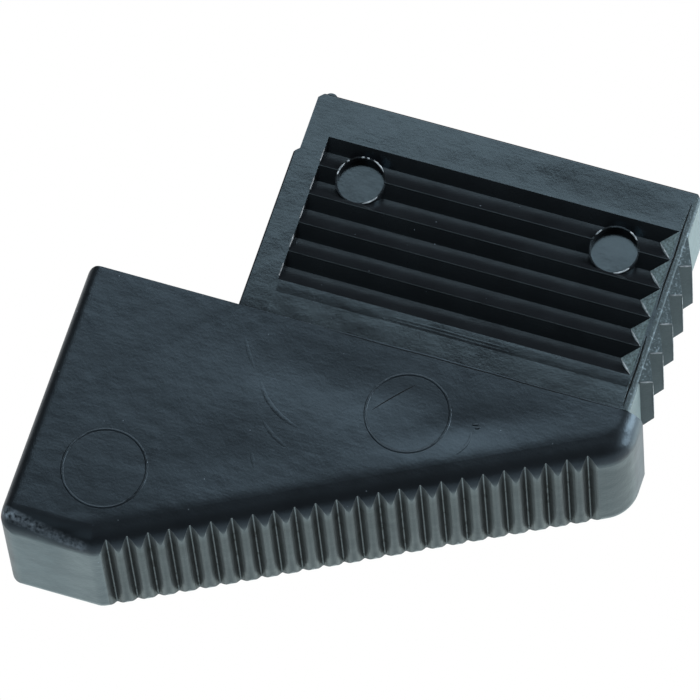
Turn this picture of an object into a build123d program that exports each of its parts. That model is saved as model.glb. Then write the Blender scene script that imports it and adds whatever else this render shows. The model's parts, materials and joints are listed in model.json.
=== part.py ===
from build123d import *
from math import asin, atan2, cos, hypot, pi, radians, sin, tan
import os

os.makedirs("parts", exist_ok=True)

# A ladder foot that plugs into the hollow bottom end of a ladder stile. Sizes are in mm and degrees.
# It is drawn lying on its side, and stood on its sole at the end. While it is drawn:
#   X runs across the stile's width, from the heel side to the toe side, with 0 at the plug's heel edge
#   Y runs along the stile towards the ground, with 0 at the shoulder that the stile's cut end sits on
#   Z runs through the thickness, with 0 at the front face, where plug and shoe are flush

# Shoe: the wedge that stands on the ground.
sole_angle = 27.5            # between the sole and the shoulder
shoe_thickness = 28.0
heel_reach = 26.05           # how far the shoe stands out past the plug on the heel side
heel_depth = 48.6            # from the shoulder down to the heel's flat
heel_flat = 16.65            # length of the heel's flat, which is parallel to the shoulder
toe_reach = 69.9             # from the plug's heel edge to the shoe's toe end
back_corner_radius = 1.6
heel_corner_radius = 3.0
heel_blend_radius = 3.0      # where the heel's flat turns into the sole
toe_corner_radius = 6.5
toe_flat = 0.5               # least flat that the toe end keeps above that corner
sole_edge_radius = 4.0       # along heel, sole and toe, on both faces
side_edge_radius = 2.4       # along the heel side, on both faces

# Tread: straight grooves across the sole.
tread_count = 24
tread_pitch = 3.48
tread_first = 2.65           # from the heel's turn to the first groove's middle
tread_depth = 1.35
tread_floor = 0.2            # width of a groove's flat bottom
tread_land = 0.1             # width of the flat on top of each land
tread_land_radius = 0.8      # between that flat and the groove's flank

# Ejector rings on the shoe's front face: low rounded ridges left round the mould's pins.
ring_diameter = 14.0
ring_width = 0.5
ring_height = 0.1
ring_root = 0.5              # how deep a ridge is rooted in the shoe
ring_spots = ((-11.8, 34.5), (32.9, 10.8))

# Plug: the block that goes up inside the stile.
plug_width = 67.7
plug_length = 41.1
plug_thickness = 17.8
tip_inset = 0.9              # the tip is narrower on the heel side, to lead into the stile
tip_inset_length = 10.9
tip_inset_slope = 0.9
tip_heel_chamfer = 1.0
tip_toe_chamfer = 0.9
plug_edge_radius = 0.4       # along the heel edge and the tip
plug_end_radius = 0.8        # along the toe end

# Ribs: saw-tooth grooves across the plug's front face.
rib_count = 5
rib_pitch = 5.49
rib_first_crest = 33.6       # from the shoulder to the crest nearest the tip
rib_depth = 1.9
rib_steep_run = 2.07         # along the plug, on the side that faces the shoulder
rib_crest = 0.12             # width of the flat on each crest
rib_hollow = 0.2             # how far the gentle side is hollowed
rib_start = 4.9              # from the plug's heel edge
rib_end = 66.0               # where the ramp at the toe end comes up to the face
rib_ramp = 2.8               # length of that ramp

# Barbs: one tooth beside each crest after the first, on the plug's toe end, to grip inside the stile.
barb_height = 2.0
barb_flank_run = 1.0
barb_lead = 0.3              # how far a barb's crest lies towards the tip from its rib's crest
barb_step = 0.1              # below the front face, where the plug's toe end begins to round
barb_top = 0.8               # below the front face, at a barb's crest
barb_bottom_slope = 2.5      # how much shorter a barb is at its crest
barb_root = 1.5              # how deep a barb is rooted in the plug

# Ejector pits on the plug's front face: flat round floors among the ribs, each in a thin collar of flash.
pit_diameter = 7.9
pit_depth = 1.3
pit_root = 1.0               # how deep a pit's floor and collar are rooted in the plug
collar_wall = 0.25
collar_rise = 0.25           # above the front face, on the tip's side
collar_drop = 0.6            # below the front face, on the shoulder's side
pit_spots = ((12.4, -27.4), (56.6, -27.3))

# Gate stub: where the plug was broken off its runner, at the tip.
gate_place = 3.0             # from the plug's heel edge
gate_diameter = 2.4
gate_rise = 0.45             # above the tip
gate_depth = 2.5             # through the thickness, from where the tip's edge begins to round

# Anchor: the plug's tongue inside the shoe, with a head wider than its neck.
anchor_start = 14.0          # from the plug's heel edge to the neck
anchor_neck_width = 30.0
anchor_neck_length = 5.0
anchor_overhang = 4.0        # of the head past the neck, at each side
anchor_cover = 8.0           # shoe left between the anchor and the sole
anchor_thickness = 10.0
anchor_root = 1.0            # how deep the neck is rooted in the plug
anchor_gap = 0.1             # between the anchor and its pocket

spare = 1.0                  # how far a cutter reaches past what it cuts

lean = radians(sole_angle)
heel_turn = heel_flat - heel_reach


def sole_line(x, inside=0.0):
    """Y of the sole at that X, or of a line parallel to it and that far inside."""
    return heel_depth - tan(lean) * (x - heel_turn) - inside / cos(lean)


def block(points, thickness, bottom=0.0):
    """Solid over a closed outline of X and Y points, from Z bottom."""
    outline = make_face(Polyline(*points, close=True))
    return Pos(0, 0, bottom) * extrude(outline, amount=thickness)


def disc(x, y, diameter, bottom, top):
    """Round solid through the thickness, between two depths."""
    return Pos(x, y, bottom) * extrude(Circle(diameter / 2), amount=top - bottom)


def heel_side_waste(y, inward, radius):
    """What is cut off to round a corner of the heel side, where inward is the way to the shoe's inside."""
    middle_x = radius - heel_reach
    middle_y = y + inward * radius
    past_y = y - inward * spare
    past_x = -heel_reach - spare
    corner = ((past_x, past_y), (middle_x, past_y), (middle_x, middle_y), (past_x, middle_y))
    waste = block(corner, shoe_thickness + 2 * spare, -spare)
    return waste - disc(middle_x, middle_y, 2 * radius, -2 * spare, shoe_thickness + 2 * spare)


def crest_line(k):
    """Y of a rib's crest, counted from the tip."""
    return -rib_first_crest + k * rib_pitch


def anchor(gap):
    """The anchor, or the pocket that is larger by the gap all round. Its head ends parallel to the sole."""
    neck_left = anchor_start - gap
    neck_right = anchor_start + anchor_neck_width + gap
    head_left = neck_left - anchor_overhang
    head_right = neck_right + anchor_overhang
    head_top = anchor_neck_length - gap
    neck_and_head = (
        (neck_left, -anchor_root),
        (neck_right, -anchor_root),
        (neck_right, head_top),
        (head_right, head_top),
        (head_right, heel_depth),
        (head_left, heel_depth),
        (head_left, head_top),
        (neck_left, head_top),
    )
    left = head_left - spare
    right = head_right + spare
    above_sole = (
        (left, sole_line(left, anchor_cover - gap)),
        (right, sole_line(right, anchor_cover - gap)),
        (right, -heel_depth),
        (left, -heel_depth),
    )
    bottom = (plug_thickness - anchor_thickness) / 2 - gap
    thickness = anchor_thickness + 2 * gap
    return block(neck_and_head, thickness, bottom) & block(above_sole, thickness, bottom)


def tread_outline():
    """Outline of one tread groove: X along the sole from its middle, Y out of the sole."""
    floor = tread_floor / 2
    land = (tread_pitch - tread_land) / 2
    across = land - floor
    down = tread_depth - tread_land_radius
    flank = atan2(down, across) + asin(tread_land_radius / hypot(across, down))

    def on_round(angle, side):
        x = land - tread_land_radius * sin(angle)
        return side * x, tread_land_radius * (cos(angle) - 1)

    return make_face([
        Line((-land, spare), (-land, 0)),
        ThreePointArc((-land, 0), on_round(flank / 2, -1), on_round(flank, -1)),
        Line(on_round(flank, -1), (-floor, -tread_depth)),
        Line((-floor, -tread_depth), (floor, -tread_depth)),
        Line((floor, -tread_depth), on_round(flank, 1)),
        ThreePointArc(on_round(flank, 1), on_round(flank / 2, 1), (land, 0)),
        Line((land, 0), (land, spare)),
        Line((land, spare), (-land, spare)),
    ])


# Shoe body, with its long edges rounded before the tread is cut, so that the grooves run out in the rounding.
# A short toe end limits the rounding of its corner, and that limits the rounding of the edges round it.
toe_bottom = sole_line(toe_reach)
toe_turn = pi / 2 - lean
toe_rounding = min(toe_corner_radius, (toe_bottom - toe_flat) / tan(toe_turn / 2))
edge_rounding = min(sole_edge_radius, toe_rounding)
outline = make_face(Polyline(
    (-heel_reach, 0),
    (toe_reach, 0),
    (toe_reach, toe_bottom),
    (heel_turn, heel_depth),
    (-heel_reach, heel_depth),
    close=True,
))
for x, y, radius in ((toe_reach, toe_bottom, toe_rounding), (heel_turn, heel_depth, heel_blend_radius)):
    corner = outline.vertices().sort_by_distance((x, y, 0))[0]
    outline = fillet(corner, radius)
shoe = extrude(outline, amount=shoe_thickness)
level_edges = shoe.edges().filter_by(Plane.XY)
low_edges = [e for e in level_edges if e.center().Y > 0.01 and e.center().X > 0.01 - heel_reach]
shoe = fillet(low_edges, edge_rounding)
side_edges = [e for e in shoe.edges().filter_by(Axis.Y) if abs(e.center().X + heel_reach) < 0.01]
shoe = fillet(side_edges, side_edge_radius)

# The heel side's two corners are rounded by cuts, because edges of different radius meet there.
shoe -= heel_side_waste(0, 1, back_corner_radius)
shoe -= heel_side_waste(heel_depth, -1, heel_corner_radius)

# Tread.
groove = extrude(tread_outline(), amount=shoe_thickness + 2 * spare)
grooves = []
for k in range(tread_count):
    along = tread_first + k * tread_pitch
    start = (heel_turn + along * cos(lean), heel_depth - along * sin(lean), -spare)
    grooves.append(Plane(start, x_dir=(cos(lean), -sin(lean), 0), z_dir=(0, 0, 1)).location * groove)
shoe -= grooves

# Ejector rings. Each is a low arc carried round its pin.
ring_inner = (ring_diameter - ring_width) / 2
ring_outer = (ring_diameter + ring_width) / 2
ring = revolve(Plane.XZ * make_face([
    ThreePointArc((ring_inner, 0), (ring_diameter / 2, -ring_height), (ring_outer, 0)),
    Line((ring_outer, 0), (ring_outer, ring_root)),
    Line((ring_outer, ring_root), (ring_inner, ring_root)),
    Line((ring_inner, ring_root), (ring_inner, 0)),
]), Axis.Z)
for x, y in ring_spots:
    shoe += Pos(x, y, 0) * ring

# Pocket for the plug's anchor.
shoe -= anchor(anchor_gap)

# Plug body. Its edges are rounded on two plain blocks that reach past its outline: one for the toe end,
# and one for the heel edge and the tip.
tip = -plug_length
plug = block((
    (0, 0),
    (plug_width, 0),
    (plug_width, tip + tip_toe_chamfer),
    (plug_width - tip_toe_chamfer, tip),
    (tip_inset + tip_heel_chamfer, tip),
    (tip_inset, tip + tip_heel_chamfer),
    (tip_inset, tip + tip_inset_length),
    (0, tip + tip_inset_length + tip_inset_slope),
), plug_thickness)
past_tip = tip - spare
long_outline = ((-spare, past_tip), (plug_width, past_tip), (plug_width, spare), (-spare, spare))
long_block = block(long_outline, plug_thickness)
end_edges = [e for e in long_block.edges().filter_by(Axis.Y) if e.center().X > 0]
plug &= fillet(end_edges, plug_end_radius)
past_end = plug_width + spare
wide_outline = ((0, tip), (past_end, tip), (past_end, spare), (0, spare))
wide_block = block(wide_outline, plug_thickness)
long_edges = wide_block.edges().filter_by(Axis.Y) + wide_block.edges().filter_by(Axis.X)
soft_edges = [e for e in long_edges if e.center().X < 0.01 or e.center().Y < tip + 0.01]
plug &= fillet(soft_edges, plug_edge_radius)

# Ribs. Each is cut as a saw-tooth groove that ends in a ramp.
deep = rib_depth + spare
ramp_side = Plane((0, 0, 0), x_dir=(1, 0, 0), z_dir=(0, -1, 0))
ramp = ramp_side * make_face(Polyline(
    (rib_start - spare, -spare),
    (rib_end + rib_ramp * spare / rib_depth, -spare),
    (rib_end - rib_ramp * deep / rib_depth, deep),
    (rib_start - spare, deep),
    close=True,
))
ramp = extrude(ramp, amount=plug_length)
rib_side = Plane((rib_start, 0, 0), x_dir=(0, 1, 0), z_dir=(1, 0, 0))
for k in range(rib_count):
    steep_top = (crest_line(k) + rib_crest / 2, 0)
    bottom = (crest_line(k) + rib_steep_run, rib_depth)
    gentle_top = (crest_line(k + 1) - rib_crest / 2, 0)
    run = gentle_top[0] - bottom[0]
    sunk = rib_hollow / hypot(run, rib_depth)
    middle = (bottom[0] + run / 2 + sunk * rib_depth, rib_depth / 2 + sunk * run)
    profile = make_face([
        Line(steep_top, bottom),
        ThreePointArc(bottom, middle, gentle_top),
        Line(gentle_top, (gentle_top[0], -spare)),
        Line((gentle_top[0], -spare), (steep_top[0], -spare)),
        Line((steep_top[0], -spare), steep_top),
    ])
    plug -= extrude(rib_side * profile, amount=rib_end + rib_ramp - rib_start) & ramp

# Ejector pits. A slanting cut makes each collar stand highest on the tip's side.
pit_bottom = pit_depth + pit_root
for x, y in pit_spots:
    reach = pit_diameter / 2 + collar_wall
    slant = rib_side * make_face(Polyline(
        (y - reach, -collar_rise),
        (y + reach, collar_drop),
        (y + reach, pit_bottom),
        (y - reach, pit_bottom),
        close=True,
    ))
    slant = extrude(slant, amount=rib_end - rib_start)
    plug += disc(x, y, 2 * reach, -collar_rise, pit_bottom) & slant
    plug -= disc(x, y, pit_diameter, -collar_rise - spare, pit_depth)

# Gate stub.
plug += disc(gate_place, tip + gate_diameter / 2 - gate_rise, gate_diameter, plug_edge_radius,
             plug_edge_radius + gate_depth)

# Barbs. Their near ends slope down from the front face, and their far ends slope back to the plug.
crest_x = plug_width + barb_height
past = crest_x + spare
front_edge = plug_width - plug_end_radius
barb_front_slope = (barb_top - barb_step) / (crest_x - front_edge)
barb_side = ramp_side * make_face(Polyline(
    (plug_width - barb_root, barb_top),
    (front_edge, barb_step),
    (past, barb_step + barb_front_slope * (past - front_edge)),
    (past, plug_thickness - barb_bottom_slope * (past - plug_width) / barb_height),
    (plug_width, plug_thickness),
    (plug_width - barb_root, plug_thickness),
    close=True,
))
barb_side = extrude(barb_side, amount=plug_length)
for k in range(1, rib_count + 1):
    start = crest_line(k - 1) - barb_lead + barb_flank_run
    crest = crest_line(k) - barb_lead
    barb = block((
        (plug_width - barb_root, start),
        (plug_width, start),
        (crest_x, crest),
        (plug_width, crest + barb_flank_run),
        (plug_width - barb_root, crest + barb_flank_run),
    ), plug_thickness)
    plug += barb & barb_side

# Anchor.
plug += anchor(0)

# Stand the foot on its sole, centred over the origin.
standing = Plane((0, 0, 0), x_dir=(cos(lean), 0, -sin(lean)), z_dir=(0, 1, 0)).location
shoe = standing * shoe
plug = standing * plug
box = Compound([shoe, plug]).bounding_box()
centred = Pos(-(box.min.X + box.max.X) / 2, -(box.min.Y + box.max.Y) / 2, -box.min.Z)
for name, piece in (("foot_shoe", shoe), ("stile_plug", plug)):
    piece = centred * piece
    print(name, len(piece.solids()), round(piece.volume), piece.is_valid, piece.bounding_box())
    export_step(piece.solid(), "parts/" + name + ".step")
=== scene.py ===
# %% [markdown]
# # A moulded ladder foot
#
# The foot is two black mouldings: a ribbed plug that goes up inside a hollow ladder stile, and a wedge-shaped
# shoe that stands on the ground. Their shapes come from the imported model, which is loaded first and never
# moved. This lesson gives them their surfaces, their fine lines of flash, and the light of a plain studio.

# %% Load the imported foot
import json
import math
import bpy
import numpy as np
from mathutils import Matrix, Vector


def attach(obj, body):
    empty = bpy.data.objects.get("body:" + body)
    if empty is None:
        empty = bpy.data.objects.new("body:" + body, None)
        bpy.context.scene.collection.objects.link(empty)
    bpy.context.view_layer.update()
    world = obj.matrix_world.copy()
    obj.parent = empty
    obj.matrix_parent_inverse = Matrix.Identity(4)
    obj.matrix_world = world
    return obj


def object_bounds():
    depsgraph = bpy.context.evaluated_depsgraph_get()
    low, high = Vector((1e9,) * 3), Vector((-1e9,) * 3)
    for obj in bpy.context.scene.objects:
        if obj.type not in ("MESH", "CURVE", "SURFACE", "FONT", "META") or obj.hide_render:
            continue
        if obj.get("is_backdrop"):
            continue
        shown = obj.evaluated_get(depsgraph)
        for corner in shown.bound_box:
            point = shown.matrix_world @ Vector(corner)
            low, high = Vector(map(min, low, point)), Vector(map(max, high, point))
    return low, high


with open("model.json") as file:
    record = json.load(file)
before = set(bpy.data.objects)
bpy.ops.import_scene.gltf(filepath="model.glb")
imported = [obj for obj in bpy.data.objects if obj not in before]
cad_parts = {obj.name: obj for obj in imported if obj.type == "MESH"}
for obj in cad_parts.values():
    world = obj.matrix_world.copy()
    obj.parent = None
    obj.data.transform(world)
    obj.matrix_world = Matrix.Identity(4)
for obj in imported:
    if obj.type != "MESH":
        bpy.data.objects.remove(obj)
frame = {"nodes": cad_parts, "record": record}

cad_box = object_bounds()
plug = frame["nodes"]["stile_plug"]
shoe = frame["nodes"]["foot_shoe"]
print("loaded", plug.name, "and", shoe.name)
print("size in mm", [round(1000 * x, 1) for x in cad_box[1] - cad_box[0]])

# %% [markdown]
# ## The foot's own axes
#
# The foot stands on its sole, so its plug leans. Marks on its faces are easier to place in axes that follow
# the plug: across it from the heel side, along it towards the ground, and through its thickness. The plug's
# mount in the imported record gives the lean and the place, so nothing here has to be measured again.

# %% Axes and places in millimetres
MM = 0.001
plug_width = 67.7
plug_thickness = 17.8

mounts = {mount["name"]: mount for mount in frame["record"]["mounts"]}
footward = -Vector(mounts["plug"]["axis"]).normalized()
inward = Vector((0, 1, 0))
across = footward.cross(inward)
own_axes = Matrix((across, footward, inward)).transposed()
shoulder_middle = Vector(mounts["plug"]["pos_m"])
heel_edge = shoulder_middle - own_axes @ Vector((plug_width / 2, 0, plug_thickness / 2)) * MM


def place(u, v, w):
    """Point in the row's metres: u mm across the plug, v mm towards the ground, w mm in from the front."""
    return heel_edge + own_axes @ Vector((u, v, w)) * MM


print("heel edge of the plug at the shoulder", [round(1000 * x, 2) for x in heel_edge])

# %% [markdown]
# ## Camera
#
# The foot was photographed lying on its side, from about 65 degrees above its front face and from far away,
# so its parallel edges hardly draw together. A long lens at that distance gives the same picture. The
# camera's place, the point it looks at and the direction that lies level in the picture are given in the
# foot's own axes.

# %% Camera
camera_place = (251.71, 523.79, -1242.56)
camera_aim = (20.31, 2.67, 0.0)
picture_right = (0.9503, -0.3075, 0.0480)
lens_mm = 426.57
sensor_mm = 36.0
sight_end = 20.0         # metres


def add_object(name, data):
    """New object with that data, linked to the scene."""
    made = bpy.data.objects.new(name, data)
    bpy.context.scene.collection.objects.link(made)
    return made


camera_data = bpy.data.cameras.new("camera")
camera_data.sensor_width = sensor_mm
camera_data.lens = lens_mm
camera_data.clip_end = sight_end
camera = add_object("camera", camera_data)
forward = (place(*camera_aim) - place(*camera_place)).normalized()
right = own_axes @ Vector(picture_right)
right = (right - forward * right.dot(forward)).normalized()
turned = Matrix((right, right.cross(forward), -forward)).transposed().to_4x4()
camera.matrix_world = Matrix.Translation(place(*camera_place)) @ turned
bpy.context.scene.camera = camera
print("camera at", [round(x, 3) for x in camera.location], "m")

# %% [markdown]
# ## Helpers for materials
#
# Colours are written as the sRGB hex values that a colour picker shows. Blender's shaders work in linear
# light, so one function converts them. A second one adds a node, sets it up and links it in one line, and a
# third starts a material with an empty node tree.

# %% Helpers
def linear(hex_colour):
    """Linear RGBA of an sRGB hex colour: the low end is a straight line and the rest a power of 2.4."""
    srgb = np.array([int(hex_colour[i:i + 2], 16) for i in (1, 3, 5)]) / 255
    rgb = np.where(srgb <= 0.04045, srgb / 12.92, ((srgb + 0.055) / 1.055) ** 2.4)
    return (*rgb.tolist(), 1.0)


def add(tree, kind, inputs=None, **settings):
    """New node of that kind, with its settings. A socket is given a value, or linked from another socket or
    from a node's first output."""
    node = tree.nodes.new("ShaderNode" + kind)
    for name, value in settings.items():
        setattr(node, name, value)
    for key, value in (inputs or {}).items():
        if isinstance(value, bpy.types.Node):
            value = value.outputs[0]
        if isinstance(value, bpy.types.NodeSocket):
            tree.links.new(value, node.inputs[key])
        else:
            node.inputs[key].default_value = value
    return node


def blank_material(name):
    """New material with no nodes yet, and its node tree."""
    material = bpy.data.materials.new(name)
    material.use_nodes = True
    material.node_tree.nodes.clear()
    return material, material.node_tree


print("mid grey is", [round(x, 3) for x in linear("#808080")[:3]], "in linear light")

# %% [markdown]
# ## Places and directions on the surface
#
# Every pattern below is laid out in the foot's own axes, in millimetres, so a number in it can be read off a
# ruler held on the foot. Object coordinates give each point's place in the row, and one mapping turns it into
# those axes. How far a face looks along an axis tells the flat front from the sides, which have another
# finish.

# %% Places and directions for the patterns
def own_places(tree):
    """Node with a point's place in the foot's own axes: mm across, towards the ground and inward."""
    coords = add(tree, "TexCoord")
    return add(tree, "Mapping", {
        "Vector": coords.outputs["Object"], "Location": heel_edge, "Rotation": own_axes.to_euler(),
        "Scale": (MM, MM, MM),
    }, vector_type="TEXTURE")


def looking(tree, direction):
    """Socket with how far a face looks along a direction: 1 is straight along it and -1 straight away."""
    coords = add(tree, "TexCoord")
    along = add(tree, "VectorMath", {0: coords.outputs["Normal"], 1: direction}, operation="DOT_PRODUCT")
    return along.outputs["Value"]


print("the front face looks along", [round(x, 2) for x in -inward], "and the plug's toe end along",
      [round(x, 2) for x in across])

# %% [markdown]
# ## Relief of a moulded face
#
# A thick moulding cools from the outside in, so its flat faces pull in a little where the most material lies
# behind them. On this foot there are broad sinks beside the seam and along the sole. Slow waves, a mottle,
# fine drag streaks from the way it left the mould and a fine grain lie over them. They could be modelled, but
# a bump is enough for slopes of a few degrees. All of them are added up as heights in millimetres, so one
# bump node can take them as they are. A sink is a bell curve: its side towards the light is brighter and the
# other darker.

# %% Relief
far = 1e6                # a reach in mm that is the same as no limit
# A sink's middle, reach and depth in mm, first in the foot's own axes and then in the row's
own_sinks = (
    ((27.0, 8.6, 0.0), (28.0, 6.5, far), 0.35),
    ((15.0, 10.0, 0.0), (8.0, 5.0, far), 0.11),
    ((52.0, -34.0, 0.0), (24.0, 4.5, far), 0.20),
)
ground_sinks = (
    ((15.5, 0.0, 9.5), (12.0, far, 3.5), 0.34),
    ((-22.0, 0.0, 11.0), (9.0, far, 7.0), 0.24),
    ((20.0, -13.9, 3.2), (far, 3.0, 1.2), 0.18),
)
# A layer's size in mm across, along and inward, its height in mm, and its octaves of finer detail
relief_layers = {
    "waves": ((14.0, 14.0, 14.0), 0.30, 3.0),
    "mottle": ((3.0, 3.0, 3.0), 0.060, 1.0),
    "streaks": ((14.0, 0.9, 2.5), 0.018, 3.0),
    "grain": ((0.5, 0.5, 0.5), 0.024, 2.0),   # real grain is about 0.1 mm and wouldn't show, so it is coarser
}


def sink(tree, places, middle, reach, depth, rest):
    """Node with a height less a bell curve: depth times e to minus the squared distance in reaches."""
    offset = add(tree, "VectorMath", {0: places, 1: middle}, operation="SUBTRACT")
    ratio = add(tree, "VectorMath", {0: offset, 1: reach}, operation="DIVIDE")
    square = add(tree, "VectorMath", {0: ratio, 1: ratio}, operation="DOT_PRODUCT")
    power = add(tree, "Math", {0: square.outputs["Value"], 1: -1.0}, operation="MULTIPLY")
    bell = add(tree, "Math", {0: power}, operation="EXPONENT")
    return add(tree, "Math", {0: bell, 1: -depth, 2: rest}, operation="MULTIPLY_ADD")


def relief(tree, places, texture):
    """Node with a face's height in mm: that share of each layer's noise, less the sinks."""
    height = 0.0
    for size, swell, octaves in relief_layers.values():
        drawn = add(tree, "VectorMath", {0: places, 1: size}, operation="DIVIDE")
        noise = add(tree, "TexNoise", {"Vector": drawn, "Scale": 1.0, "Detail": octaves})
        height = add(tree, "Math", {0: noise, 1: texture * swell, 2: height}, operation="MULTIPLY_ADD")
    for middle, reach, depth in own_sinks:
        height = sink(tree, places, middle, reach, depth, height)
    coords = add(tree, "TexCoord")
    ground = add(tree, "VectorMath", {0: coords.outputs["Object"], "Scale": 1 / MM}, operation="SCALE")
    for middle, reach, depth in ground_sinks:
        height = sink(tree, ground, middle, reach, depth, height)
    return height


print("sinks as deep as", max(depth for _, _, depth in own_sinks + ground_sinks), "mm")

# %% [markdown]
# ## Worn edges with painted highlights, dust and scuffs
#
# Sharp edges of black plastic turn pale where they are knocked, because the surface tears into fine white
# fuzz. The Bevel node gives the normal that a slightly rounded edge would have. Where it leaves the face's
# own normal there is an edge, and a noise breaks the pale line up so that it looks knocked and not drawn. The
# same mask also finds inner edges, such as the floors of grooves, and there its pale line is a painted
# highlight.
# Dust settles as small single specks, which are the cells of a Voronoi pattern that happen to touch the
# surface.

# %% Masks for wear and dust
edge_break_size = 1.5
edge_break_noise = (0.35, 0.6)        # noise at which an edge begins to be pale, and is as pale as it gets
edge_agreement = (0.995, 0.9)    # cosine between the face's and the rounded normal: no edge, and all edge
dust_spacing = 3.4
dust_radius = 0.12
dust_core = 0.6                  # share of a speck's radius that is at full strength
dust_strength = 0.3


def worn_and_highlit_edges(tree, places, rounded):
    """Node that is 1 on knocked edges, and on inner edges where it paints highlights: where the rounded
    normal leaves the face's, broken by a noise.
    """
    face = add(tree, "NewGeometry")
    agree = add(tree, "VectorMath", {0: face.outputs["Normal"], 1: rounded}, operation="DOT_PRODUCT")
    edge = add(tree, "MapRange", {"Value": agree.outputs["Value"], "From Min": edge_agreement[0],
                                  "From Max": edge_agreement[1]})
    edge_breaks = add(tree, "TexNoise", {"Vector": places, "Scale": 1 / edge_break_size, "Detail": 2.0})
    broken = add(tree, "MapRange", {"Value": edge_breaks, "From Min": edge_break_noise[0], "From Max": edge_break_noise[1]})
    return add(tree, "Math", {0: edge, 1: broken}, operation="MULTIPLY")


def dust(tree, places):
    """Node with dust specks: points nearer than a speck's radius to the middle of a Voronoi cell."""
    cells = add(tree, "TexVoronoi", {"Vector": places, "Scale": 1 / dust_spacing})
    rim = dust_radius / dust_spacing
    return add(tree, "MapRange", {"Value": cells.outputs["Distance"], "From Min": rim,
                                  "From Max": dust_core * rim, "To Max": dust_strength})


print("about one speck of dust on each", round(dust_spacing ** 3 / (2 * dust_radius)), "square mm")

# %% [markdown]
# ## One black moulding
#
# Plug and shoe are both black plastic that came out of a steel mould, so one function makes both materials.
# It starts from a black base under a clear, slightly cool reflection. Masks then say where a surface is matt,
# where it has a grey bloom, where it is pale from wear and from painted highlights, where it is dirty, and
# where it is darkened as painted shade. Each moulding brings its own masks.

# %% Material of a moulding
black_dark = "#101215"
black_light = "#1a1e22"
bloom_grey = "#72888e"
# Pale grey of worn edges, dust, flecks and scuffs, which also paints edge highlights and glints.
pale_wear_and_highlight = "#b8d0e4"
dirt_and_shade_brown = "#0d0d0c"
frost_sheen = "#c8e0e4"
frost_sheen_roughness = 0.4
noise_span = (0.3, 0.7)          # nearly all of a noise lies between these
patch_size = 9.0
gloss_spread = 0.04              # how far the roughness of patches goes up and down
matt_roughness = 0.75
clean_shine = 0.5
dirt_and_shade_shine = 0.1


def moulded(name, roughness, tint, texture, edge_radius, masks):
    """Black moulded material whose reflection has that tint, with that share of the relief and edges of that
    radius in mm. Masks is a function that gives nodes for matt, bloom, pale wear with painted highlights,
    and for dirty places and painted shade, and for sheen and a step in mm where there are any."""
    material, tree = blank_material(name)
    places = own_places(tree)
    rounded = add(tree, "Bevel", {"Radius": edge_radius * MM}, samples=6)
    found = masks(tree, places, rounded)

    patches = add(tree, "TexNoise", {"Vector": places, "Scale": 1 / patch_size, "Detail": 4.0,
                                     "Roughness": 0.6})
    black = add(tree, "Mix", {0: patches, 6: linear(black_dark), 7: linear(black_light)}, data_type="RGBA")
    bloomed = add(tree, "Mix", {0: found["bloom"], 6: black.outputs[2], 7: linear(bloom_grey)},
                  data_type="RGBA")
    paled = add(tree, "Mix", {0: found["pale"], 6: bloomed.outputs[2], 7: linear(pale_wear_and_highlight)},
                data_type="RGBA")
    # Dirt and, in the shoe's grooves, painted shade: a darker colour and less shine.
    colour = add(tree, "Mix", {0: found["dirt_and_shade"], 6: paled.outputs[2], 7: linear(dirt_and_shade_brown)},
                 data_type="RGBA")
    shine = add(tree, "MapRange", {"Value": found["dirt_and_shade"], "To Min": clean_shine, "To Max": dirt_and_shade_shine})

    gloss = add(tree, "MapRange", {"Value": patches, "From Min": noise_span[0],
                                   "From Max": noise_span[1], "To Min": roughness - gloss_spread,
                                   "To Max": roughness + gloss_spread})
    dulled = add(tree, "Mix", {0: found["matt"], 2: gloss, 3: matt_roughness})
    height = relief(tree, places, texture)
    if "step" in found:
        height = add(tree, "Math", {0: height, 1: found["step"]}, operation="ADD")
    bump = add(tree, "Bump", {"Height": height, "Distance": MM, "Normal": rounded})
    surface = add(tree, "BsdfPrincipled", {
        "Base Color": colour.outputs[2], "Roughness": dulled,
        "Specular IOR Level": shine, "Specular Tint": linear(tint),
        "Sheen Weight": found.get("sheen", 0.0), "Sheen Roughness": frost_sheen_roughness,
        "Sheen Tint": linear(frost_sheen), "Normal": bump,
    })
    add(tree, "OutputMaterial", {"Surface": surface})
    return material


print("the black base reflects", round(100 * linear(black_dark)[1], 1), "to",
      round(100 * linear(black_light)[1], 1), "percent of the light")

# %% [markdown]
# ## The plug's plastic
#
# The plug is firm black polypropylene. Its front, ribs and pits come off polished steel and show soft, even
# reflections. The toe end with its ramps and barbs was cut into the mould by sparks, which leaves it frosted:
# it scatters more light and looks greyer, most of all at a low angle, which a sheen gives. Handling has left
# pale flecks on it beside the front. The barbs' own flanks are duller still, and their grey bloom is cut back
# as painted shade. The ribs' narrow crests are dull with dirt. The masks find these places by how far across
# the plug a point lies and by the way its face looks. The strip beside the last rib belongs to the rib
# insert, which sat a little crooked, so it falls by a twentieth of a millimetre, steeper and steeper to its
# end.

# %% Plug material
ramp_begin = 62.5
ramp_blend = 0.2
ramp_tilt = (-0.3, -0.45)        # how far a face looks across the plug: no ramp, and all ramp
toe_end = 66.75
toe_blend = 0.1
flank_tilt = (0.5, 0.8)          # how far a face looks towards the ground: no barb's flank, and all flank
frost_size = 0.4
frost_share = (0.3, 1.0)         # of the bloom, between the grains of the frost and on them
frost_matt = 0.6
toe_bloom = 0.24
ramp_bloom = 1.3
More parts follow.
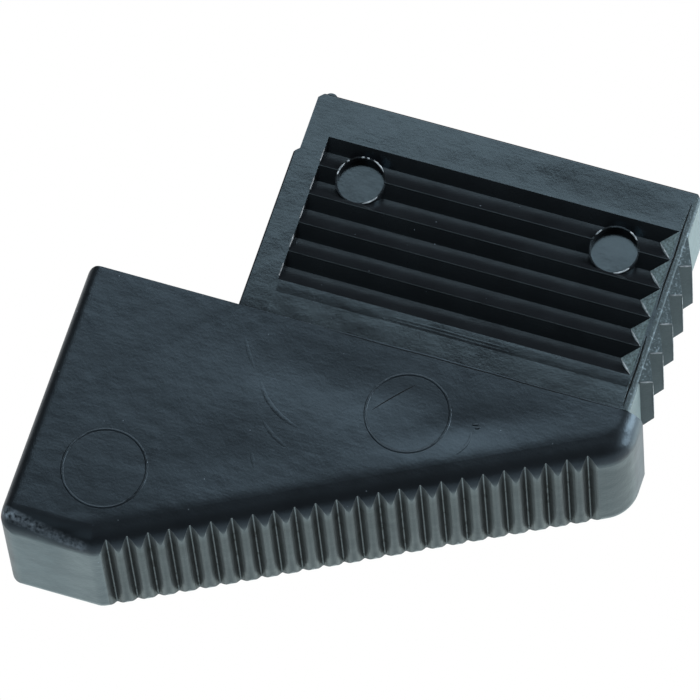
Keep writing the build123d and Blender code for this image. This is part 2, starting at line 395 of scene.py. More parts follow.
# Share of the bloom left on the barbs' flanks: a painted shade that makes them darker.
flank_shaded_bloom = 0.3
edge_wear_and_highlight = (0.01, 0.32)         # how pale knocked edges and painted edge highlights are on the front, and at the toe end
fleck_noise = (0.56, 0.72)       # noise at which a fleck begins, and is as pale as it gets
fleck_depth = (1.0, 6.0)         # mm in from the front face, and how pale flecks are there
fleck_strength = (0.22, 0.03)
crests_across = (5.0, 65.9)      # limits of the ribs' dull crests, in mm across and along the plug
crests_along = (-31.0, -8.0)
crest_level = 0.05               # mm below the front face that still count as a crest
crest_dirt = 0.7
strip_begin = -6.1               # the strip beside the last rib falls from here to its end
strip_end = -4.05
strip_fall = 0.06
strip_heel = (4.9, 5.3)          # mm across the plug: none of the fall, and all of it


def plug_masks(tree, places, rounded):
    """Masks of the plug: frosted ramps and toe end, dull flanks with painted shade, dull crests, pale edges
    with painted highlights, flecks and dust.
    """
    axes = add(tree, "SeparateXYZ", {"Vector": places})
    end = add(tree, "MapRange", {"Value": axes.outputs["X"], "From Min": toe_end,
                                 "From Max": toe_end + toe_blend})
    near = add(tree, "MapRange", {"Value": axes.outputs["X"], "From Min": ramp_begin,
                                  "From Max": ramp_begin + ramp_blend})
    tilted = add(tree, "MapRange", {"Value": looking(tree, across), "From Min": ramp_tilt[0],
                                    "From Max": ramp_tilt[1]})
    ramps = add(tree, "Math", {0: near, 1: tilted}, operation="MULTIPLY")
    frosted = add(tree, "Math", {0: end, 1: ramps}, operation="MAXIMUM")
    lower = add(tree, "MapRange", {"Value": looking(tree, footward), "From Min": flank_tilt[0],
                                   "From Max": flank_tilt[1]})
    flanks = add(tree, "Math", {0: end, 1: lower}, operation="MULTIPLY")
    matt = add(tree, "Math", {0: frosted, 1: frost_matt}, operation="MULTIPLY")
    matt = add(tree, "Math", {0: matt, 1: flanks}, operation="MAXIMUM")

    speckle = add(tree, "TexNoise", {"Vector": places, "Scale": 1 / frost_size, "Detail": 2.0})
    frost = add(tree, "MapRange", {"Value": speckle, "From Min": noise_span[0],
                                   "From Max": noise_span[1], "To Min": frost_share[0],
                                   "To Max": frost_share[1]})
    greyer = add(tree, "MapRange", {"Value": ramps, "To Min": toe_bloom, "To Max": ramp_bloom})
    greyed = add(tree, "Math", {0: frosted, 1: greyer}, operation="MULTIPLY")
    bloom = add(tree, "Math", {0: greyed, 1: frost}, operation="MULTIPLY")
    # Painted shade: the barbs' flanks keep less of the grey bloom.
    clear = add(tree, "MapRange", {"Value": flanks, "To Min": 1.0, "To Max": flank_shaded_bloom})
    bloom = add(tree, "Math", {0: bloom, 1: clear}, operation="MULTIPLY")
    sheen = add(tree, "Math", {0: end, 1: clear}, operation="MULTIPLY")

    wear_and_highlight_share = add(tree, "MapRange", {"Value": end, "To Min": edge_wear_and_highlight[0], "To Max": edge_wear_and_highlight[1]})
    edges = add(tree, "Math", {0: worn_and_highlit_edges(tree, places, rounded), 1: wear_and_highlight_share}, operation="MULTIPLY")
    faint = add(tree, "MapRange", {"Value": axes.outputs["Z"], "From Min": fleck_depth[0],
                                   "From Max": fleck_depth[1], "To Min": fleck_strength[0],
                                   "To Max": fleck_strength[1]})
    flecks = add(tree, "MapRange", {"Value": speckle, "From Min": fleck_noise[0],
                                    "From Max": fleck_noise[1], "To Max": faint})
    sparked = add(tree, "Math", {0: frosted, 1: flanks}, operation="SUBTRACT")
    flecked = add(tree, "Math", {0: sparked, 1: flecks}, operation="MULTIPLY")
    pale = add(tree, "Math", {0: edges, 1: dust(tree, places)}, operation="MAXIMUM")
    pale = add(tree, "Math", {0: pale, 1: flecked}, operation="MAXIMUM")

    crests = add(tree, "Math", {0: axes.outputs["Z"], 1: crest_level}, operation="LESS_THAN")
    for axis, (low, high) in {"X": crests_across, "Y": crests_along}.items():
        within = add(tree, "Math", {0: axes.outputs[axis], 1: (low + high) / 2, 2: (high - low) / 2},
                     operation="COMPARE")
        crests = add(tree, "Math", {0: crests, 1: within}, operation="MULTIPLY")
    dirt_and_shade = add(tree, "Math", {0: crests, 1: crest_dirt}, operation="MULTIPLY")

    along = add(tree, "MapRange", {"Value": axes.outputs["Y"], "From Min": strip_begin,
                                   "From Max": strip_end})
    steeper = add(tree, "Math", {0: along, 1: 2.0}, operation="POWER")
    fall = add(tree, "Math", {0: steeper, 1: -strip_fall}, operation="MULTIPLY")
    inside = add(tree, "MapRange", {"Value": axes.outputs["X"], "From Min": strip_heel[0],
                                    "From Max": strip_heel[1]})
    step = add(tree, "Math", {0: fall, 1: inside}, operation="MULTIPLY")
    return {"matt": matt, "bloom": bloom, "pale": pale, "dirt_and_shade": dirt_and_shade, "sheen": sheen, "step": step}


plug_plastic = moulded("polypropylene_injection_moulded", roughness=0.23, tint="#c0e4f8", texture=0.6,
                       edge_radius=0.015, masks=plug_masks)
plug.data.materials[0] = plug_plastic
print(plug_plastic.name, "has", len(plug_plastic.node_tree.nodes), "nodes")

# %% [markdown]
# ## The shoe's rubber
#
# The shoe is a softer black rubber. Its front is smooth, and its sole, heel and toe are matt with a grey
# bloom, as rubber gets where the mould is rough and it has been stood on. Lumps of grit lie in the deep parts
# of the tread, and the walls and floors of its grooves are darkened as painted shade; both fade out within a
# few millimetres of the front face. The heel's front edge is scuffed, and its pale flecks also paint the
# glints of the rounded edge. The masks find the sides by the way a face looks, and grit and painted shade by
# their height above the ground, because the sole stands on the plane of zero height. Heights there are
# counted in depths of the tread.

# %% Shoe material
tread_depth = 1.35
tread_begin = -46.5              # mm along the row's X axis, from the heel to the toe
tread_end = 36.2
side_tilt = (0.6, 0.2)           # how far a face looks to the front or the back: no side, and all side
side_heights = (0.8, 3.0)        # the sole ends at the first height, and the sides are clean above the second
side_matt = 0.2
side_bloom = (0.11, 0.20)
bloom_size = 2.5
groove_heights = (0.25, 0.55)    # grit and painted shade lie in the grooves above these
# Painted shade in the tread's grooves: floors are darkened, and walls more, as shade in the recesses.
wall_heights = (0.98, 0.93)      # floor and walls of a groove
wall_shade_share = (0.35, 0.9)
grit_size = 2.0
grit_noise = (0.56, 0.62)        # noise at which a lump of grit begins, and is all grit
sole_film = 0.6                  # share of dirt on the lands of the tread
toe_film = 0.65                  # share of that film on the toe's land
sole_tilt = (0.3, 0.1)           # how far a face looks to the front or the back: no sole, and all sole
front_fade = (1.5, 7.0)          # mm in from the front face: the least dirt and painted shade, and the full amount beyond
front_fade_share = 0.15
dirt_matt = 0.2
# Along the heel's front edge: pale flecks that are partly real scuffs and partly painted glints of the
# rounded edge.
scuff_glint_start = (-25.0, 46.4, 0.8)
scuff_glint_end = (-11.5, 47.8, 2.2)
scuff_glint_reach = (1.3, 0.3)         # mm from the line of the scuffs and painted glints: none, and all of them
scuff_glint_size = 0.7
scuff_glint_noise = (0.35, 0.75)
scuff_glint_strength = (0.8, 0.32)     # at the start, and from the next share of the way on
scuff_glint_fade = 0.6
# Shoe edges: pale where knocked, and painted highlights along inner edges such as groove floors.
shoe_edge_wear_and_highlight = 0.22


def shoe_masks(tree, places, rounded):
    """Masks of the shoe: matt bloomed sides, pale scuffs with painted glints on the heel's edge, pale edges
    with painted highlights, dust, and grit with painted shade in the grooves.
    """
    flat = add(tree, "Math", {0: looking(tree, inward)}, operation="ABSOLUTE")
    sides = add(tree, "MapRange", {"Value": flat, "From Min": side_tilt[0],
                                   "From Max": side_tilt[1]}, interpolation_type="SMOOTHSTEP")
    mottle = add(tree, "TexNoise", {"Vector": places, "Scale": 1 / bloom_size, "Detail": 4.0})
    grey = add(tree, "MapRange", {"Value": mottle, "From Min": noise_span[0],
                                  "From Max": noise_span[1], "To Min": side_bloom[0],
                                  "To Max": side_bloom[1]})
    coords = add(tree, "TexCoord")
    row = add(tree, "SeparateXYZ", {"Vector": coords.outputs["Object"]})
    share = add(tree, "Math", {0: row.outputs["Z"], 1: tread_depth * MM}, operation="DIVIDE")
    above = add(tree, "MapRange", {"Value": share, "From Min": side_heights[0],
                                   "From Max": side_heights[1]}, interpolation_type="SMOOTHSTEP")
    upper = add(tree, "Math", {0: sides, 1: above}, operation="MULTIPLY")
    matt = add(tree, "Math", {0: upper, 1: side_matt}, operation="MULTIPLY")
    bloom = add(tree, "Math", {0: upper, 1: grey}, operation="MULTIPLY")

    deep = add(tree, "MapRange", {"Value": share, "From Min": groove_heights[0],
                                  "From Max": groove_heights[1]})
    past_heel = add(tree, "Math", {0: row.outputs["X"], 1: tread_begin * MM}, operation="GREATER_THAN")
    before_toe = add(tree, "Math", {0: row.outputs["X"], 1: tread_end * MM}, operation="LESS_THAN")
    tread = add(tree, "Math", {0: past_heel, 1: before_toe}, operation="MULTIPLY")
    # Painted shade on the groove walls and floors, together with real lumps of grit.
    wall_shade = add(tree, "MapRange", {"Value": share, "From Min": wall_heights[0],
                                   "From Max": wall_heights[1], "To Min": wall_shade_share[0],
                                   "To Max": wall_shade_share[1]})
    grit = add(tree, "TexNoise", {"Vector": places, "Scale": 1 / grit_size, "Detail": 3.0})
    lumps = add(tree, "MapRange", {"Value": grit, "From Min": grit_noise[0], "From Max": grit_noise[1]})
    shade_and_grit = add(tree, "Math", {0: wall_shade, 1: lumps}, operation="MAXIMUM")
    groove_shade_and_grit = add(tree, "Math", {0: deep, 1: shade_and_grit}, operation="MULTIPLY")
    groove_shade_and_grit = add(tree, "Math", {0: groove_shade_and_grit, 1: tread}, operation="MULTIPLY")
    film = add(tree, "MapRange", {"Value": before_toe, "To Min": toe_film * sole_film, "To Max": sole_film})
    film = add(tree, "Math", {0: film, 1: past_heel}, operation="MULTIPLY")
    film = add(tree, "Math", {0: groove_shade_and_grit, 1: film}, operation="MAXIMUM")

    below = add(tree, "MapRange", {"Value": share, "From Min": side_heights[1],
                                   "From Max": side_heights[0]}, interpolation_type="SMOOTHSTEP")
    square = add(tree, "MapRange", {"Value": flat, "From Min": sole_tilt[0], "From Max": sole_tilt[1]})
    under = add(tree, "Math", {0: below, 1: square}, operation="MULTIPLY")
    own = add(tree, "SeparateXYZ", {"Vector": places})
    # The dirt and the painted shade fade out near the front face, so the tread is lighter there.
    faded_near_front = add(tree, "MapRange", {"Value": own.outputs["Z"], "From Min": front_fade[0],
                                   "From Max": front_fade[1], "To Min": front_fade_share},
                interpolation_type="SMOOTHSTEP")
    under = add(tree, "Math", {0: under, 1: faded_near_front}, operation="MULTIPLY")
    dirt_and_shade = add(tree, "Math", {0: film, 1: under}, operation="MULTIPLY")
    dusty = add(tree, "Math", {0: dirt_and_shade, 1: dirt_matt}, operation="MULTIPLY")
    matt = add(tree, "Math", {0: matt, 1: dusty}, operation="MAXIMUM")

    run = Vector(scuff_glint_end) - Vector(scuff_glint_start)
    offset = add(tree, "VectorMath", {0: places, 1: scuff_glint_start}, operation="SUBTRACT")
    along = add(tree, "VectorMath", {0: offset, 1: run / run.length_squared}, operation="DOT_PRODUCT")
    held = add(tree, "Clamp", {"Value": along.outputs["Value"]})
    foot = add(tree, "VectorMath", {0: run, "Scale": held}, operation="SCALE")
    gap = add(tree, "VectorMath", {0: offset, 1: foot}, operation="DISTANCE")
    band = add(tree, "MapRange", {"Value": gap.outputs["Value"], "From Min": scuff_glint_reach[0],
                                  "From Max": scuff_glint_reach[1]})
    scuff_glint_mottle = add(tree, "TexNoise", {"Vector": places, "Scale": 1 / scuff_glint_size, "Detail": 4.0})
    flecks = add(tree, "MapRange", {"Value": scuff_glint_mottle, "From Min": scuff_glint_noise[0], "From Max": scuff_glint_noise[1]})
    fading = add(tree, "MapRange", {"Value": held, "From Max": scuff_glint_fade,
                                    "To Min": scuff_glint_strength[0], "To Max": scuff_glint_strength[1]})
    # Scuffs and painted glints on the heel's edge.
    scuffs_and_glints = add(tree, "Math", {0: band, 1: flecks}, operation="MULTIPLY")
    scuffs_and_glints = add(tree, "Math", {0: scuffs_and_glints, 1: fading}, operation="MULTIPLY")
    edges = add(tree, "Math", {0: worn_and_highlit_edges(tree, places, rounded), 1: shoe_edge_wear_and_highlight}, operation="MULTIPLY")
    pale = add(tree, "Math", {0: edges, 1: dust(tree, places)}, operation="MAXIMUM")
    pale = add(tree, "Math", {0: pale, 1: scuffs_and_glints}, operation="MAXIMUM")
    return {"matt": matt, "bloom": bloom, "pale": pale, "dirt_and_shade": dirt_and_shade}


shoe_rubber = moulded("rubber_compression_moulded", roughness=0.37, tint="#bde2fc", texture=1.0,
                      edge_radius=0.05, masks=shoe_masks)
shoe.data.materials[0] = shoe_rubber
print(shoe_rubber.name, "has", len(shoe_rubber.node_tree.nodes), "nodes")

# %% [markdown]
# ## Beads of flash
#
# Where two blocks of a mould meet, a little plastic creeps between them and stays on the part as a thin
# raised line, called flash. A bead of it is an ellipse carried along a path, half sunk in the face and drawn
# in to a point at both ends, so it is a closed solid. Lines of one kind become one mesh. Painting them on
# would be quicker, but a raised line catches the light on one side and throws a shade on the other, as the
# real one does.

# %% Beads along paths
bead_sides = 12
bead_bluntness = 0.4     # a low power keeps a bead wide until close to its ends


def beads(name, paths, outward, width, height, material):
    """One piece of beads along paths of equal length in the foot's own mm. A point of a bead is its path's
    point, plus half the width times the cosine sideways, plus the height times the sine outward, times a
    taper."""
    lines, steps = paths.shape[:2]
    along = np.gradient(paths, axis=1)
    along /= np.linalg.norm(along, axis=2, keepdims=True)
    outward = np.broadcast_to(np.asarray(outward, float), paths.shape)
    sideways = np.cross(outward, along)
    sideways /= np.linalg.norm(sideways, axis=2, keepdims=True)
    angle = 2 * np.pi * np.arange(bead_sides) / bead_sides
    taper = np.sin(np.pi * np.linspace(0, 1, steps)) ** bead_bluntness
    ring = (0.5 * width * np.cos(angle)[:, None] * sideways[:, :, None]
            + height * np.sin(angle)[:, None] * outward[:, :, None])
    points = paths[:, :, None] + taper[:, None, None] * ring
    count = (steps - 2) * bead_sides
    points = np.concatenate((points[:, 1:-1].reshape(lines, count, 3), paths[:, [0, -1]]), axis=1)
    points = np.array(heel_edge) + MM * points @ np.array(own_axes).T

    here = np.arange(bead_sides)
    after = (here + 1) % bead_sides
    starts = bead_sides * np.arange(steps - 3)[:, None]
    quads = np.stack((starts + here, starts + after, starts + bead_sides + after, starts + bead_sides + here),
                     -1)
    last = count - bead_sides
    near_cap = np.stack((np.full(bead_sides, count), after, here), -1)
    far_cap = np.stack((np.full(bead_sides, count + 1), last + here, last + after), -1)
    first = (count + 2) * np.arange(lines)[:, None, None]
    faces = [(first + part.reshape(1, -1, part.shape[-1])).reshape(-1, part.shape[-1]).tolist()
             for part in (quads, near_cap, far_cap)]
    mesh = bpy.data.meshes.new(name)
    mesh.from_pydata(points.reshape(-1, 3).tolist(), [], sum(faces, []))
    mesh.polygons.foreach_set("use_smooth", np.ones(len(mesh.polygons), bool))
    mesh.materials.append(material)
    piece = add_object(name, mesh)
    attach(piece, "root")
    print(name, "has", lines, "beads and", len(mesh.polygons), "faces")


print("a bead has", bead_sides, "sides")

# %% [markdown]
# ## Pale flash and painted highlights
#
# Thin flash on black polypropylene is bent and torn when the part leaves the mould, and that turns it
# whitish. Edges that were only pushed hard are bruised to a darker grey. Both are the same plastic with their
# own greys, mottled by a noise about as coarse as the tears. Their pale greys also paint the highlights that
# these thin edges and rims catch.

# %% Flash materials
tear_size = 0.8
tear_noise = (0.35, 0.65)


def torn_and_highlit_plastic(name, dark, pale):
    """Polypropylene that tore or was bruised, whose grey also paints edge highlights: a noise spreads it
    between a dark and a pale grey.
    """
    material, tree = blank_material(name)
    tears = add(tree, "TexNoise", {"Vector": own_places(tree), "Scale": 1 / tear_size, "Detail": 3.0})
    spread = add(tree, "MapRange", {"Value": tears, "From Min": tear_noise[0], "From Max": tear_noise[1]})
    spread_grey = add(tree, "Mix", {0: spread, 6: linear(dark), 7: linear(pale)}, data_type="RGBA")
    surface = add(tree, "BsdfPrincipled", {"Base Color": spread_grey.outputs[2], "Roughness": 0.45, "IOR": 1.5})
    add(tree, "OutputMaterial", {"Surface": surface})
    return material


pale_flash_and_highlight = torn_and_highlit_plastic("polypropylene_torn_flash_painted_highlight", "#5f6d76", "#b4c2cc")
bruised_edge_and_highlight = torn_and_highlit_plastic("polypropylene_bruised_painted_highlight", "#454f56", "#848f97")
print("pale flash material", pale_flash_and_highlight.name, "and greyer", bruised_edge_and_highlight.name)

# %% [markdown]
# ## Flash at the ends of the ribs
#
# The ribbed part of the mould is a separate insert. At the toe end its ramps leave a bright thin line where
# each gentle side of a groove runs up into its ramp: a bead of pale flash whose colour also paints the
# edge's highlight. At the heel end a short greyer line stands beside each gentle side, and it paints a
# highlight there too. Both follow from the ribs' spacing, so they are worked out from it with one array for
# all the grooves.

# %% Rib end lines
rib_count = 5
rib_pitch = 5.49
rib_first_crest = 33.6
rib_depth = 1.9
rib_steep_run = 2.07
rib_start = 4.9
rib_end = 66.0
rib_ramp = 2.8
heel_line_gap = 0.05
heel_line_start = 0.05           # shares of a groove's gentle side
heel_line_length = 0.8
front = (0.0, 0.0, -1.0)         # outward from the front face

steps = np.linspace(0, 1, 12)
crests = -rib_first_crest + rib_pitch * np.arange(1, rib_count + 1)[:, None]
valleys = crests - rib_pitch + rib_steep_run
down_side = valleys + (crests - valleys) * steps
depth = np.broadcast_to(rib_depth * (1 - steps), down_side.shape)
ramp_paths = np.stack((rib_end - rib_ramp * depth / rib_depth, down_side, depth), axis=-1)
# Pale flash that also paints the highlight where each gentle side meets its ramp.
beads("ramp_flash_highlight", ramp_paths, front, width=0.28, height=0.10, material=pale_flash_and_highlight)

heel_side = valleys + (crests - valleys) * (heel_line_start + heel_line_length * steps)
heel_line = np.full_like(heel_side, rib_start - heel_line_gap)
heel_paths = np.stack((heel_line, heel_side, np.zeros_like(heel_side)), axis=-1)
# Greyer lines that paint the highlights beside the gentle sides at the heel end.
beads("rib_heel_flash_highlight", heel_paths, front, width=0.26, height=0.07, material=bruised_edge_and_highlight)

# %% [markdown]
# ## Pale edges of the barbs
#
# The barbs were pushed past the stile's wall when the foot was tried, which bruised their edges pale, and
# the pale beads also paint the highlights that these edges catch. One bead runs down the edge that a barb
# shows on the front and one along its crest. Each barb sits a little tip-ward of a rib's crest, so their
# places follow from the ribs as well.

# %% Barb edge lines
barb_height = 2.0
barb_lead = 0.3
barb_flank_run = 1.0
barb_top = 0.8
barb_crest_length = 14.2
bruise_start = 0.2               # share of the depth of a barb's top
barb_front_outward = (0.0, 0.6, -0.8)
barb_crest_outward = (0.8, 0.6, 0.0)

barb_rows = np.broadcast_to(crests - barb_lead, (rib_count, len(steps)))
front_edge = np.broadcast_to(plug_width + barb_height * steps, barb_rows.shape)
front_depth = np.broadcast_to(barb_top * (bruise_start + (1 - bruise_start) * steps), barb_rows.shape)
front_paths = np.stack((front_edge, barb_rows + barb_flank_run * (1 - steps), front_depth), axis=-1)
# Bruised edges whose pale grey also paints the edges' highlights.
beads("barb_front_edges", front_paths, barb_front_outward, width=0.24, height=0.07,
      material=bruised_edge_and_highlight)

crest_edge = np.full_like(barb_rows, plug_width + barb_height)
crest_depth = np.broadcast_to(barb_top + barb_crest_length * steps, barb_rows.shape)
crest_paths = np.stack((crest_edge, barb_rows, crest_depth), axis=-1)
beads("barb_crests", crest_paths, barb_crest_outward, width=0.16, height=0.04,
      material=bruised_edge_and_highlight)

# %% [markdown]
# ## Flash on the pits' collars
#
# Each ejector pit has a thin collar of flash, which the imported model has. Its rim is torn pale in a few
# places, and these pale arcs also paint the highlights of the rim. An arc is a path round the pit's middle.
# The collar is cut at a slant, so an arc's depth follows how far towards the ground each of its points lies.

# %% Pit arcs
pit_spots = ((12.4, -27.4), (56.6, -27.3))
rim_radius = 4.08
rim_high = -0.25
rim_low = 0.6
# Which pit, and where an arc begins and ends, in degrees from across towards the ground
arcs = (
    (0, 178, 214), (0, 218, 226), (0, 255, 262), (0, 268, 274), (0, 284, 324), (0, 28, 70),
    (1, 204, 224), (1, 292, 322), (1, 34, 78),
)
spots = np.array([pit_spots[pit] for pit, _, _ in arcs])[:, None]
turns = np.radians([[begin, end] for _, begin, end in arcs])
angles = turns[:, :1] + (turns[:, 1:] - turns[:, :1]) * np.linspace(0, 1, 14)
over = rim_radius * np.cos(angles)
down = rim_radius * np.sin(angles)
rim_depth = rim_high + (rim_low - rim_high) * (down + rim_radius) / (2 * rim_radius)
arc_paths = np.concatenate((spots + np.stack((over, down), -1), rim_depth[..., None]), axis=-1)
# Pale torn rim that also paints the rim's highlights.
beads("pit_flash_highlight", arc_paths, front, width=0.30, height=0.10, material=pale_flash_and_highlight)

# %% [markdown]
# ## Lines of the mould's inserts
#
# The rib insert leaves two fine lines beside the last rib, and the block that forms the toe end leaves one
# along the front edge there, with a gap in it. They are plain black plastic, low and narrow, and they sway a
# little. The line at the toe end has a lip on each side, and between the lips a low bead of a matt, nearly
# black material paints the shade of the groove: it swallows nearly all light.

# %% Insert lines
insert_ends = (3.8, 65.6)
insert_rows = (-5.05, -4.45)
insert_sunk = 0.043
toe_line = 66.45
toe_spans = np.array(((-39.2, -18.6), (-14.0, -0.5)))
lip_shift = np.array((0.27, 0.0, 0.0))
shade_mottle_size = 0.6


def sway(run, reach, length, start=0.0):
    """Sideways sway along a run in mm: reach times the sine of the way in lengths, from a starting angle."""
    return reach * np.sin(run / length + start)


# Painted shade: a nearly black matt material that stands in for the shade inside narrow grooves and cracks.
painted_shade, tree = blank_material("painted_groove_shade")
shade_mottle = add(tree, "TexNoise", {"Vector": own_places(tree), "Scale": 1 / shade_mottle_size, "Detail": 3.0})
dark = add(tree, "Mix", {0: shade_mottle, 6: linear("#08090a"), 7: linear("#1a1e20")}, data_type="RGBA")
surface = add(tree, "BsdfPrincipled", {"Base Color": dark.outputs[2], "Roughness": 0.9,
                                       "Specular IOR Level": 0.1})
add(tree, "OutputMaterial", {"Surface": surface})

insert_run = np.linspace(*insert_ends, 60)
insert_along = np.array(insert_rows)[:, None] + sway(insert_run, 0.03, 2.9)
insert_across = np.broadcast_to(insert_run, insert_along.shape)
insert_paths = np.stack((insert_across, insert_along, np.full_like(insert_along, insert_sunk)), -1)
beads("insert_lines", insert_paths, front, width=0.90, height=0.05, material=plug_plastic)

toe_rows = toe_spans[:, :1] + (toe_spans[:, 1:] - toe_spans[:, :1]) * np.linspace(0, 1, 50)
toe_paths = np.stack((toe_line + sway(toe_rows, 0.05, 1.7), toe_rows, np.zeros_like(toe_rows)), -1)
# Painted shade of the groove between the toe line's two lips.
beads("toe_line_painted_shade", toe_paths, front, width=0.32, height=0.03, material=painted_shade)
lip_paths = np.concatenate((toe_paths - lip_shift, toe_paths + lip_shift))
beads("toe_line_lips", lip_paths, front, width=0.22, height=0.045, material=plug_plastic)

# %% [markdown]
# ## Flash along the seam
#
# The shoe was moulded onto the plug, and a film of rubber crept over the seam. It wanders a little, so the
# path adds two slow sine waves to the straight line across the face. Towards the toe the film has come loose,
# and a thin bead of the dark matt material paints the shade in the crack beside it.

# %% Seam line
seam_ends = (0.6, 67.2)
seam_sunk = 0.049
crack_start = 26                 # point of the seam's path
crack_shift = 0.14

seam_run = np.linspace(*seam_ends, 120)
seam_along = sway(seam_run, 0.05, 5.1, 3.6) + sway(seam_run, 0.03, 1.9)
seam_path = np.stack((seam_run, seam_along, np.full_like(seam_run, seam_sunk)), -1)[None]
beads("seam_flash", seam_path, front, width=0.60, height=0.06, material=shoe_rubber)
crack_path = seam_path[:, crack_start:] + (0.0, crack_shift, -seam_sunk)
# Painted shade in the crack beside the loose film.
beads("seam_painted_shade", crack_path, front, width=0.17, height=0.012, material=painted_shade)

# %% [markdown]
# ## Flow marks and scratches
#
# Rubber fills the mould as a tongue and leaves curved flow lines where it slowed down, and a weld line below
# the plug's corner. A tool or another foot has scratched the right half. The flow marks are very low, wide
# ridges that only show because one side turns towards the light, so their beads are sunk until just a shallow
# cap is left. Each path is a smooth curve through a few given points.

# %% Flow marks
curve_steps = 24


def through(points, sunk):
    """Path that deep below the front face, under given points: each coordinate is a polynomial of the share
    of the way."""
    share = np.linspace(0, 1, len(points))
    factors = np.polyfit(share, np.array(points), len(points) - 1)
    path = np.stack([np.polyval(column, np.linspace(0, 1, curve_steps)) for column in factors.T], -1)
    return np.pad(path, ((0, 0), (0, 1)), constant_values=sunk)


flow_paths = np.stack((
    through(((6.5, 8.8), (8.2, 12.7), (10.5, 15.5), (13.0, 17.2), (15.9, 18.3), (19.2, 18.2)), 0.058),
    through(((9.2, 17.2), (12.9, 20.9), (18.4, 23.1)), 0.065),
    through(((1.2, 1.8), (3.7, 6.7), (5.5, 9.4), (7.5, 12.2)), 0.067),
    through(((9.9, 23.7), (12.2, 28.3)), 0.068),
))
beads("flow_lines", flow_paths, front, width=1.20, height=0.085, material=shoe_rubber)
scratch_path = through(((43.8, 10.9), (44.1, 12.6), (43.6, 14.1), (42.8, 15.6)), 0.02)[None]
beads("shoe_scratch", scratch_path, front, width=0.60, height=0.07, material=shoe_rubber)
# The rub's dark line is the painted shade of a fine scratch: a flat bead of the nearly black matt material.
rub_path = through(((27.1, 11.9), (30.0, 8.4), (32.7, 5.5)), 0.0)[None]
beads("shoe_rub_painted_shade", rub_path, front, width=0.20, height=0.008, material=painted_shade)
hook_paths = np.stack((
    through(((43.7, 9.8), (44.8, 9.3)), 0.0),
    through(((44.4, 10.3), (45.1, 9.8)), 0.0),
))
beads("shoe_hook", hook_paths, front, width=0.46, height=0.11, material=shoe_rubber)

# %% [markdown]
# ## Floor
#
# The floor is a pale sheet of paper under the sole. It takes the foot's shadow in the views from above. A
# disc is enough for it: rings of points round a middle, with a ring of triangles inside and quads outside.
# Lamps and reflections pass it by.

# %% Floor
floor_radius = 0.45
floor_drop = 0.3 * MM
floor_rings = 24
floor_spokes = 96

rings = np.linspace(0.0, 1.0, floor_rings + 1)[1:]
spokes = np.linspace(0.0, 2 * np.pi, floor_spokes + 1)[:-1]
ring_grid, spoke_grid = np.meshgrid(rings, spokes, indexing="ij")
disc = floor_radius * np.stack(
    (ring_grid * np.cos(spoke_grid), ring_grid * np.sin(spoke_grid), np.zeros_like(ring_grid)), axis=-1
)
points = np.concatenate((np.zeros((1, 3)), disc.reshape(-1, 3))) - (0, 0, floor_drop)
here = np.arange(floor_spokes)
after = (here + 1) % floor_spokes
centre_faces = np.stack((np.zeros(floor_spokes, int), 1 + here, 1 + after), axis=-1)
starts = 1 + floor_spokes * np.arange(floor_rings - 1)[:, None]
ring_faces = np.stack(
    (starts + here, starts + floor_spokes + here, starts + floor_spokes + after, starts + after), axis=-1
).reshape(-1, 4)
floor_mesh = bpy.data.meshes.new("floor")
floor_mesh.from_pydata(points.tolist(), [], centre_faces.tolist() + ring_faces.tolist())
floor = add_object("floor", floor_mesh)
floor.visible_diffuse = False
floor.visible_glossy = False
floor.visible_transmission = False
floor.visible_shadow = False
floor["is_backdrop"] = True
print("floor of", len(floor_mesh.polygons), "faces")

# %% [markdown]
# ## Paper of the floor
#
# Paper is matt: it scatters light evenly and mirrors nothing, so a plain diffuse shader is enough. The
# photograph looks at the sole from below the floor's level, so the paper can only be seen from its upper
# side, and it fades out towards its rim so that no edge shows.

# %% Paper of the floor
fade_reach = (0.35, 0.98)        # shares of the floor's radius

paper, tree = blank_material("paper_matte")
side = add(tree, "NewGeometry")
coords = add(tree, "TexCoord")
reach = add(tree, "VectorMath", {0: coords.outputs["Object"]}, operation="LENGTH")
fade = add(tree, "MapRange", {"Value": reach.outputs["Value"], "From Min": fade_reach[0] * floor_radius,
                              "From Max": fade_reach[1] * floor_radius}, interpolation_type="SMOOTHSTEP")
hidden = add(tree, "Math", {0: side.outputs["Backfacing"], 1: fade}, operation="MAXIMUM")
sheet = add(tree, "BsdfDiffuse", {"Color": linear("#f4f4f2")})
clear = add(tree, "BsdfTransparent")
mixed = add(tree, "MixShader", {0: hidden, 1: sheet, 2: clear})
add(tree, "OutputMaterial", {"Surface": mixed})
floor_mesh.materials.append(paper)
print("floor material", paper.name)

# %% [markdown]
# ## White sheet and dim room
#
# In the photograph the foot lies on a white sheet, which is behind it as the camera sees it, and the rest of
# the room is dim. That contrast makes black plastic look black: the sides that mirror the sheet are grey, and
# the grooves that mirror the room are almost black. The sheet sweeps up beyond the foot's sole and its two
# ends. The world gives sheet and room, with a soft change between them. Camera rays see plain white all
# round, and so do reflected rays that go towards the sheet.

# %% World
sheet_strength = 1.3
room_strength = 0.07
sole_sweep = 0.35                # how much sooner a ray meets the sheet beyond the sole
end_sweep = 0.2                  # and beyond the heel and the toe
sheet_begin = (-0.05, 0.7)       # how far a ray goes towards the sheet: all room, and all sheet

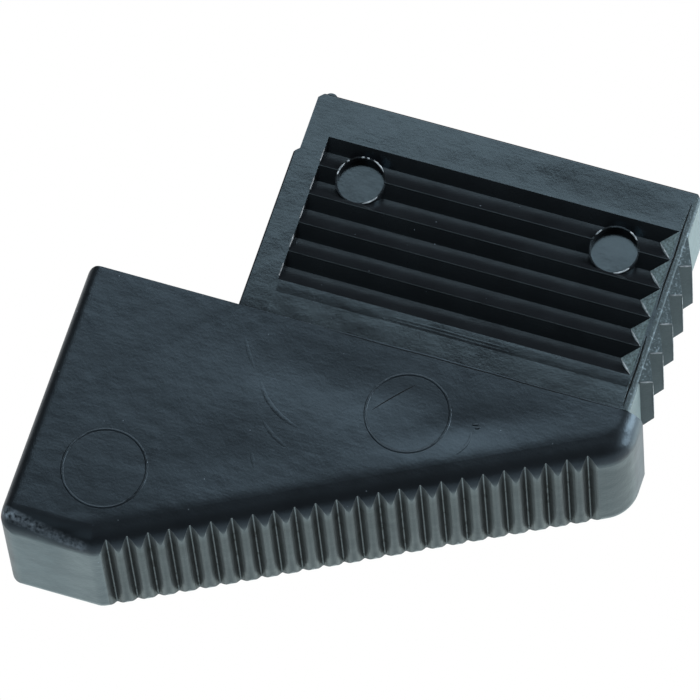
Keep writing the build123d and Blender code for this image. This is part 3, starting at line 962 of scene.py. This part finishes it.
world = bpy.data.worlds.new("studio")
bpy.context.scene.world = world
world.use_nodes = True
tree = world.node_tree
tree.nodes.clear()
coords = add(tree, "TexCoord")
behind = add(tree, "VectorMath", {0: coords.outputs["Generated"], 1: inward + sole_sweep * footward},
             operation="DOT_PRODUCT")
endways = add(tree, "VectorMath", {0: coords.outputs["Generated"], 1: end_sweep * across},
              operation="DOT_PRODUCT")
either_end = add(tree, "Math", {0: endways.outputs["Value"]}, operation="ABSOLUTE")
swept = add(tree, "Math", {0: behind.outputs["Value"], 1: either_end}, operation="ADD")
towards_sheet = add(tree, "MapRange", {"Value": swept, "From Min": sheet_begin[0],
                                       "From Max": sheet_begin[1]}, interpolation_type="SMOOTHSTEP")
level = add(tree, "MapRange", {"Value": towards_sheet, "To Min": room_strength, "To Max": sheet_strength})
rays = add(tree, "LightPath")
plain = add(tree, "Math", {0: rays.outputs["Is Camera Ray"], 1: rays.outputs["Is Transmission Ray"]},
            operation="MAXIMUM")
mirrored = add(tree, "Math", {0: rays.outputs["Is Glossy Ray"], 1: towards_sheet}, operation="MULTIPLY")
seen = add(tree, "Math", {0: plain, 1: mirrored}, operation="MAXIMUM")
studio = add(tree, "Background", {"Color": linear("#ffffff"), "Strength": level})
white = add(tree, "Background", {"Color": linear("#ffffff"), "Strength": 1.0})
both = add(tree, "MixShader", {0: seen, 1: studio, 2: white})
add(tree, "OutputWorld", {"Surface": both})
print("sheet", sheet_strength, "and room", room_strength)

# %% [markdown]
# ## Softboxes
#
# One large softbox above the tip lights the whole front face. A smaller one on the toe side draws the bright
# line along the toe's rounded edge, and a lamp stands in for the patch of sheet that it lights. A weak one
# fills in from the heel, and a cool lamp under the sheet brightens the sole and the heel. A softbox is given
# by the way it lies from the foot, its size and its radiance, because the radiance is what a mirror-like face
# shows of it, however large it is.

# %% Lights
foot_middle = (20.0, 0.0, 5.0)
softbox_distance = 550.0
# The way a softbox lies from the foot, its size in mm, its radiance and its colour
softboxes = {
    "softbox_over": ((-0.18, -0.66, -0.73), (520.0, 350.0), 3.75, "#ffffff"),
    "softbox_heel": ((-0.42, 0.45, -0.78), (350.0, 350.0), 0.6, "#ffffff"),
    "softbox_toe": ((0.88, -0.38, -0.28), (280.0, 280.0), 15.0, "#ffffff"),
    "sheet_at_toe": ((0.85, -0.38, 0.35), (320.0, 320.0), 3.0, "#f0ffff"),
    "lamp_under_sheet": ((0.1, 0.25, 0.95), (700.0, 700.0), 0.8, "#d0ffff"),
}


def add_softbox(name, towards, size, radiance, colour):
    """Area light that faces the foot: its watts are radiance times pi times its area in square metres."""
    data = bpy.data.lights.new(name, "AREA")
    data.shape = "RECTANGLE"
    data.size, data.size_y = (side * MM for side in size)
    data.energy = radiance * math.pi * data.size * data.size_y
    data.color = linear(colour)[:3]
    lamp = add_object(name, data)
    back = (own_axes @ Vector(towards)).normalized()
    level = footward.cross(back).normalized()
    turned = Matrix((level, back.cross(level), back)).transposed().to_4x4()
    lamp.matrix_world = Matrix.Translation(place(*foot_middle) + back * softbox_distance * MM) @ turned
    lamp.visible_camera = False
    print(name, "gives", round(data.energy, 2), "W")


for name, facts in softboxes.items():
    add_softbox(name, *facts)
bpy.context.scene.view_settings.view_transform = "Standard"

# %% [markdown]
# ## Sizes before and after
#
# The marks are so fine that the foot must not grow by more than a fraction of a millimetre. The box of the
# packed foot was measured at the start, so the box of the dressed one can be set against it.

# %% Sizes before and after
visual_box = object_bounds()
grown = (visual_box[1] - visual_box[0]) - (cad_box[1] - cad_box[0])
print("the marks add", [round(1000 * x, 2) for x in grown], "mm to the foot's box")
